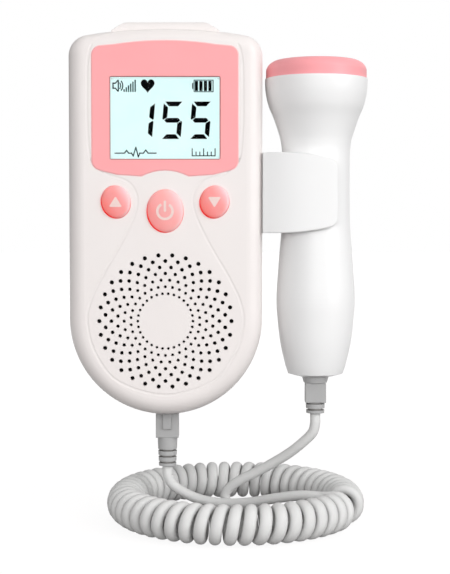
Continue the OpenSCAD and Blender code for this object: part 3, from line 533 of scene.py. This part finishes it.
def button(name, body, material, cx, cz, tilt, w, h):
    """Cap with a soft shoulder, its flange and its stem, in the place of the CAD's button."""
    sides = 72
    wide, high = w / 2 + SKIRT, h / 2 + SKIRT
    flange, stem = 0.9, 1.5
    rings = [(rho * wide, rho * high, CAP_TOP + drop) for rho, drop in CROWN[1:]]
    rings += [(wide, high, -29), (wide, high, -27.9), (w / 2 + flange, h / 2 + flange, -27.9),
              (w / 2 + flange, h / 2 + flange, -27.1), (stem, stem, -27.1), (stem, stem, -26.1)]
    points = [at(cx, cz, tilt, 0, CAP_TOP, 0)]
    for a, b, y in rings:
        points += [at(cx, cz, tilt, a * math.cos(t), y, b * math.sin(t))
                   for t in (2 * math.pi * k / sides for k in range(sides))]
    faces = [(0, 1 + k, 1 + (k + 1) % sides) for k in range(sides)]
    for i in range(len(rings) - 1):
        p, q = 1 + i * sides, 1 + (i + 1) * sides
        faces += [(p + k, q + k, q + (k + 1) % sides, p + (k + 1) % sides) for k in range(sides)]
    faces.append(tuple(range(len(points) - sides, len(points))))
    cap = mesh_object(name, points, faces, material)
    cap.modifiers.new("edges", "EDGE_SPLIT").split_angle = math.radians(50)
    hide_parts(body)
    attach(cap, body)
    return cap


def inked(o, body):
    """Gives a printed sign its thickness and sharp edges, and lets it ride on its button."""
    coat = o.modifiers.new("coat", "SOLIDIFY")
    coat.thickness = 0.02 * MM
    coat.offset = 0
    o.modifiers.new("edges", "EDGE_SPLIT").split_angle = math.radians(50)
    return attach(o, body)


def strip(name, left, right, body):
    """A thin band between two lines of the same number of points."""
    n = len(left)
    faces = [(i, i + 1, n + i + 1, n + i) for i in range(n - 1)]
    return inked(mesh_object(name, left + right, faces, mats["icon"]), body)


def on_cap(cx, cz, tilt, w, h, x, z):
    """A point of an icon on a button's crown, just proud of it."""
    rho = math.hypot(x / (w / 2), z / (h / 2))
    return at(cx, cz, tilt, x, CAP_TOP + crown_drop(rho) - 0.025, z)


def triangle_icon(name, body, cx, cz, tilt, w, h, points, r=0.35):
    """A filled triangle with rounded corners, laid on the crown."""
    corners = []
    n = len(points)
    for i in range(n):
        p = Vector(points[i])
        a, b = Vector(points[i - 1]) - p, Vector(points[(i + 1) % n]) - p
        reach = r / math.tan(a.angle(b) / 2)
        p0, p1 = p + a.normalized() * reach, p + b.normalized() * reach
        corners.append([p0 * (1 - t) ** 2 + 2 * p * t * (1 - t) + p1 * t * t
                        for t in (0, 0.25, 0.5, 0.75, 1)])
    outline = []
    for i, corner in enumerate(corners):
        onward = corners[(i + 1) % n][0]
        outline += corner + [corner[-1].lerp(onward, k / 8) for k in range(1, 8)]
    centre = sum(outline, Vector((0, 0))) / len(outline)
    rings = [centre + (q - centre) * s for s in (1, 0.75, 0.5, 0.25) for q in outline]
    m = len(outline)
    faces = [(i * m + k, i * m + (k + 1) % m, (i + 1) * m + (k + 1) % m, (i + 1) * m + k)
             for i in range(3) for k in range(m)]
    faces += [(3 * m + k, 3 * m + (k + 1) % m, 4 * m) for k in range(m)]
    o = mesh_object(name, [on_cap(cx, cz, tilt, w, h, *q) for q in rings + [centre]], faces,
                    mats["icon"])
    return inked(o, body)


# Middle in X and Z, tilt in degrees, width and height
POWER = (0, 1.9, 0, 12.3, 14.4)
UP = (-16.4, 4.9, -14, 9.9, 11)
DOWN = (16.4, 4.9, 14, 9.9, 11)
button("power_cap", "power_button", mats["power_rubber"], *POWER)
button("up_cap", "up_button", mats["side_rubber"], *UP)
button("down_cap", "down_button", mats["side_rubber"], *DOWN)


def arrow(facts, points):
    """Points given upright about the button's middle, in the button's tilted frame."""
    t = math.radians(facts[2])
    return [(x * math.cos(t) - z * math.sin(t), x * math.sin(t) + z * math.cos(t)) for x, z in points]


triangle_icon("up_icon", "up_button", *UP, arrow(UP, ((0, 1.9), (2.2, -1.65), (-2.2, -1.65))))
triangle_icon("down_icon", "down_button", *DOWN, arrow(DOWN, ((0, -1.9), (-2.2, 1.65), (2.2, 1.65))))


def ring_line(r):
    """One edge of the power sign's ring, which is open at the top."""
    turns = [math.radians(a) for a in range(118, 118 + 305, 5)]
    return [on_cap(*POWER, r * math.cos(t), -0.1 + r * math.sin(t)) for t in turns]


def bar_line(side):
    """One edge of the power sign's bar, which is narrower at its ends."""
    ends = (-0.25, 3.45)
    return [on_cap(*POWER, side * (0.25 if z in ends else 0.42), z)
            for z in (-0.25, 0, 0.8, 1.6, 2.4, 3.2, 3.45)]


strip("power_ring_icon", ring_line(2.95), ring_line(2.1), "power_button")
strip("power_bar_icon", bar_line(-1), bar_line(1), "power_button")


# ---- display ----

def plate(name, outlines, y0, y1, material):
    """Flat pieces with the given outlines in X and Z, between two depths, as one mesh."""
    points, faces = [], []
    for outline in outlines:
        n, b = len(outline), len(points)
        points += [(x, y0, z) for x, z in outline] + [(x, y1, z) for x, z in outline]
        faces += [tuple(range(b, b + n)), tuple(range(b + 2 * n - 1, b + n - 1, -1))]
        faces += [(b + k, b + n + k, b + n + (k + 1) % n, b + (k + 1) % n) for k in range(n)]
    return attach(mesh_object(name, points, faces, material, smooth=False), "root")


LCD_FRONT = -28.0
SLANT = 0.09


def mark(name, outlines, ink="small_segment", proud=0.04):
    """Printed shapes on the display."""
    plate(name, outlines, LCD_FRONT - proud, LCD_FRONT, mats[ink])


def digit(x0, segments, z0=25.9, w=6.65, h=12.4, t=1.56, end=0.5):
    """Slanted seven-segment digit; segments a to g as on any such display."""
    m = h / 2
    slope = t - 0.25
    shapes = {
        "a": [(end, h), (w - end, h), (w - end - slope, h - t), (end + slope, h - t)],
        "d": [(end, 0), (end + slope, t), (w - end - slope, t), (w - end, 0)],
        "g": [(end + 0.15, m), (end + 0.95, m + t / 2), (w - end - 0.95, m + t / 2),
              (w - end - 0.15, m), (w - end - 0.95, m - t / 2), (end + 0.95, m - t / 2)],
    }
    upper = [(0, h - 0.62), (0, m + 0.48), (0.35, m + 0.18), (t, m + t / 2 + 0.22),
             (t, h - t - 0.36)]
    shapes["f"] = upper
    shapes["b"] = [(w - x, z) for x, z in upper]
    shapes["c"] = [(w - x, h - z) for x, z in upper]
    return [[(x0 + x + SLANT * z, z0 + z) for x, z in shapes[s]] for s in segments]


mark("digits", digit(-11.07, "bc") + digit(-1.55, "afgcd") + digit(7.87, "afgcd"), "segment")


def heart(cx, cz, w):
    """Outline of a heart of width w."""
    turns = [2 * math.pi * k / 40 for k in range(40)]
    return [(cx + w / 2 * math.sin(t) ** 3,
             cz + w / 29 * (13 * math.cos(t) - 5 * math.cos(2 * t) - 2 * math.cos(3 * t)
                            - math.cos(4 * t))) for t in turns]


def box(x0, z0, x1, z1):
    return [(x0, z0), (x1, z0), (x1, z1), (x0, z1)]


mark("heart_mark", [heart(-5.83, 43.75, 4.6)], "segment")
mark("battery_mark", [box(9.85 + 1.5 * k, 41.8, 10.95 + 1.5 * k, 45.15) for k in range(4)]
     + [box(8.95, 42.5, 9.35, 44.45)], "segment")
mark("battery_outline", [box(9.5, 45.25, 16.1, 45.55), box(9.5, 41.4, 16.1, 41.7),
                         box(15.75, 41.7, 16.1, 45.25), box(9.45, 41.7, 9.75, 45.25)], proud=0.03)
mark("level_bars", [box(-13.9 + 0.74 * k, 41.5, -13.44 + 0.74 * k, 42.4 + 0.62 * k)
                    for k in range(6)])


def arc_band(cx, cz, r, w, a0, a1, n=10):
    """Outline of an arc of width w between two bearings in degrees."""
    t = [math.radians(a0 + (a1 - a0) * k / n) for k in range(n + 1)]
    return ([(cx + r * math.cos(a), cz + r * math.sin(a)) for a in t]
            + [(cx + (r + w) * math.cos(a), cz + (r + w) * math.sin(a)) for a in reversed(t)])


mark("sound_mark", [
    box(-17.55, 42.5, -17.1, 44.6), box(-17.2, 44.15, -16.5, 44.6), box(-17.2, 42.5, -16.5, 42.95),
    [(-16.6, 44.6), (-15.85, 45.5), (-15.35, 45.5), (-16.45, 44.15)],
    [(-16.6, 42.5), (-16.45, 42.95), (-15.35, 41.6), (-15.85, 41.6)],
    box(-15.8, 41.8, -15.35, 45.3),
    arc_band(-16.6, 43.55, 1.6, 0.38, -36, 36), arc_band(-16.6, 43.55, 2.3, 0.4, -40, 40)])


def pulse(points, w):
    """A line of width w through points, as one band for each stretch."""
    shapes = []
    for (x0, z0), (x1, z1) in zip(points, points[1:]):
        d = Vector((x1 - x0, z1 - z0)).normalized() * w / 2
        shapes.append([(x0 - d.y - d.x, z0 + d.x - d.y), (x0 + d.y - d.x, z0 - d.x - d.y),
                       (x1 + d.y + d.x, z1 - d.x + d.y), (x1 - d.y + d.x, z1 + d.x + d.y)])
    return shapes


mark("pulse_mark", pulse([
    (-16.7, 21.2), (-13.6, 21.2), (-12.9, 22.1), (-12.2, 21.2), (-11.3, 21.2), (-10.7, 20.3),
    (-9.8, 23.1), (-9.0, 20.0), (-8.5, 21.2), (-7.3, 21.2), (-6.5, 22.2), (-5.7, 21.2),
    (-3.1, 21.2)], 0.4))
mark("scale_mark", [box(8.8 + 1.27 * k, 20.5, 9.15 + 1.27 * k, 22.8 if k % 3 == 0 else 21.7)
                    for k in range(7)] + [box(8.8, 20.15, 16.77, 20.5)], proud=0.03)


def band(name, outline, section, material, level=None):
    """A closed strip along a closed outline in X and Z that runs anticlockwise. The section's
    points are a distance out from the outline and a depth, which is counted from level(x, z) if
    that is given."""
    line = [Vector(q) for q in outline]
    n, m = len(line), len(section)
    points, faces = [], []
    for i, q in enumerate(line):
        a, b = (q - line[i - 1]).normalized(), (line[(i + 1) % n] - q).normalized()
        out = Vector((a.y + b.y, -a.x - b.x)) / (1 + a.dot(b))
        ends = [q + d * out for d in (section[0][0], min(d for d, y in section))]
        base = max(level(*e) for e in ends) if level else 0
        points += [(q.x + d * out.x, base + y, q.y + d * out.y) for d, y in section]
        j = (i + 1) % n
        faces += [(i * m + k, i * m + (k + 1) % m, j * m + (k + 1) % m, j * m + k) for k in range(m)]
    o = mesh_object(name, points, faces, material)
    o.data.set_sharp_from_angle(angle=math.radians(35))
    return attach(o, "root")


def front_outline(node):
    """The outer edge of a node's front face, anticlockwise seen from the front, in millimetres."""
    mesh = nodes[node].data
    where = [(round(v.co.x / MM, 4), round(v.co.z / MM, 4)) for v in mesh.vertices]
    front = min(v.co.y for v in mesh.vertices) + 1e-6
    onward = {}
    for face in mesh.polygons:
        if all(mesh.vertices[v].co.y < front for v in face.vertices):
            loop = [where[v] for v in face.vertices]
            for a, b in zip(loop, loop[1:] + loop[:1]):
                if onward.get(b) and a in onward[b]:
                    onward[b].remove(a)
                else:
                    onward.setdefault(a, []).append(b)
    start = max(a for a, b in onward.items() if b)
    line = [start]
    while True:
        step = onward[line[-1]][0]
        if step == start:
            break
        line.append(step)
    area = sum(a[0] * b[1] - a[1] * b[0] for a, b in zip(line, line[1:] + line[:1]))
    return line if area > 0 else line[::-1]


def around_display(w, h):
    """Outline of a box of that width and height about the display's middle."""
    return box(-w / 2, LCD_Z - h / 2, w / 2, LCD_Z + h / 2)


# The display's lit area runs on under the glass up to a fine printed line
band("display_rim", around_display(35.7, 26.5),
     [(0, -29.03), (0.42, -29.03), (0.42, -29.01), (0, -29.01)], mats["panel"])
band("window_border", around_display(36.2, 27.0),
     [(0, -30.02), (0.21, -30.02), (0.21, -29.9), (0, -29.9)], mats["border"])
band("window_lip", around_display(36.62, 27.42),
     [(0, -30.03), (0.14, -30.16), (0.2, -30.16), (0.2, -29.9), (0, -29.9)], mats["bezel"])

# Seams that the finished unit doesn't show: round the surround and round the loudspeaker insert
band("bezel_lip", front_outline("display_bezel"),
     [(-0.04, -30.14), (0.06, -30.12), (0.16, -30.05), (0.30, -30.008), (0.30, -29.99),
      (-0.04, -29.99)], mats["lip"])
band("grille_seam", front_outline("speaker_grille"),
     [(-0.45, -30.006), (0.5, -30.006), (0.5, -29.99), (-0.45, -29.99)], mats["skin"])

# Right half of the inner panel's outline, as in the construction. The groove that runs round it is
# shown shallower than the construction's
PANEL_RIGHT = [(0, 61.6), (19.5, 60.4), (25.3, 55.4), (26.2, 40), (25.9, 26), (24.6, 18.2),
               (19.5, 13.9), (13, 11.6), (10, 7.8), (9.8, 3), (12.2, -3.4), (16.2, -11),
               (21.2, -19.5), (25.4, -28.5), (26.3, -36.5), (23.3, -46.4), (15.8, -55.4), (0, -59.9)]
panel_left = [(-x, z) for x, z in PANEL_RIGHT[-2:0:-1]]
shell = nodes["front_shell"].data
shell_tree = BVHTree.FromPolygons([v.co / MM for v in shell.vertices],
                                  [f.vertices for f in shell.polygons])


def shell_front(x, z):
    """Depth of the front shell's surface at a place."""
    return shell_tree.ray_cast(Vector((x, -60, z)), Vector((0, 1, 0)))[0].y


def beside_groove(x, z):
    """Depth of the face just outside the groove's edge, up to the rounding of the rim."""
    return min(shell_front(x + dx, z + dz)
               for dx, dz in ((0.12, 0), (-0.12, 0), (0, 0.12), (0, -0.12)))


band("panel_groove", closed_spline(PANEL_RIGHT + panel_left, 5)[::-1],
     [(0.03, -0.006), (-0.10, 0.016), (-0.22, 0.042), (-0.35, 0.054), (-0.48, 0.042),
      (-0.60, 0.016), (-0.73, -0.006), (-0.73, 0.3), (0.03, 0.3)], mats["skin"], beside_groove)


def oval(facts, grow):
    """The outline of a button, grown by so much, anticlockwise."""
    cx, cz, tilt, w, h = facts
    turns = [2 * math.pi * k / 72 for k in range(72)]
    points = [at(cx, cz, tilt, (w / 2 + grow) * math.cos(t), 0, (h / 2 + grow) * math.sin(t))
              for t in turns]
    return [(x, z) for x, y, z in points]


# Collars that narrow the running gaps round the buttons
for name, facts in (("power_well", POWER), ("up_well", UP), ("down_well", DOWN)):
    band(name, oval(facts, SKIRT + 0.03),
         [(0, -29.96), (0.05, -29.99), (0.12, -30.006), (0.50, -30.006), (0.50, -29.99),
          (0.10, -29.6), (0, -29.6)], mats["skin"])


# ---- stage and lights ----

def floor_material():
    """White floor that keeps the object's soft shadow."""
    m = Maker("floor_paper")
    glow = m.node("Emission", {"Color": (1, 1, 1, 1), "Strength": 1.0})
    path = m.node("LightPath").outputs
    seen = m.math("MAXIMUM", path["Is Camera Ray"],
                  m.math("MAXIMUM", path["Is Glossy Ray"], path["Is Transmission Ray"]))
    x, y, _ = m.separate()
    far = m.math("SQRT", m.math("ADD", m.math("MULTIPLY", x, x), m.math("MULTIPLY", y, y)))
    lift = m.span(far, 0.12, 0.6, 0.91, 1.0, True)
    m.put(glow.inputs["Strength"], m.math("MULTIPLY", seen, lift))
    both = m.node("AddShader")
    m.links.new(m.shader.outputs[0], both.inputs[0])
    m.links.new(glow.outputs[0], both.inputs[1])
    m.links.new(both.outputs[0], m.nodes["Material Output"].inputs["Surface"])
    paper = m.noise(400, 3)
    return m.finish(m.mix(paper, (0.115, 0.105, 0.103, 1), (0.125, 0.115, 0.113, 1)), 0.9,
                    m.bump(paper, 0.00005, 0.3))


FLOOR = -104.17     # the cord's lowest point
floor = mesh_object("floor", [(x, z, FLOOR) for x, z in box(-6000, -6000, 6000, 6000)],
                    [(0, 1, 2, 3)], floor_material(), False)

world = bpy.data.worlds.new("studio")
scene.world = world
world.use_nodes = True
sky = Maker(tree=world.node_tree)
x = sky.separate(sky.generated)["X"]
path = sky.node("LightPath").outputs
fill = sky.span(x, -0.7, 0.7, 0.40, 0.49)       # brighter on the right
shine = sky.span(x, -0.5, 0.05, 0.25, 1.0)      # what glossy skins mirror
strength = sky.math("MULTIPLY", path["Is Glossy Ray"], sky.math("SUBTRACT", shine, fill))
strength = sky.math("ADD", strength, fill)
shown = sky.math("MAXIMUM", path["Is Camera Ray"], path["Is Transmission Ray"])
sky.put(sky.nodes["Background"].inputs["Strength"], sky.math("MAXIMUM", shown, strength))
sky.nodes["Background"].inputs["Color"].default_value = (1, 1, 1, 1)


def lamp(name, place, size, power, mirrored=True):
    """A lamp that faces the object's middle."""
    data = bpy.data.lights.new(name, "AREA")
    data.shape = "RECTANGLE"
    data.size, data.size_y = size
    data.energy = power
    o = bpy.data.objects.new(name, data)
    o.location = place
    target = Vector((0.02, -0.02, -0.02))
    o.rotation_euler = (target - Vector(place)).to_track_quat("-Z", "Y").to_euler()
    o.visible_glossy = mirrored
    scene.collection.objects.link(o)


lamp("key", (0.95, -0.72, 0.40), (0.7, 0.9), 7.0)
lamp("front", (-0.10, -1.4, 0.20), (0.9, 0.7), 10.6, False)

scene.view_settings.view_transform = "Standard"
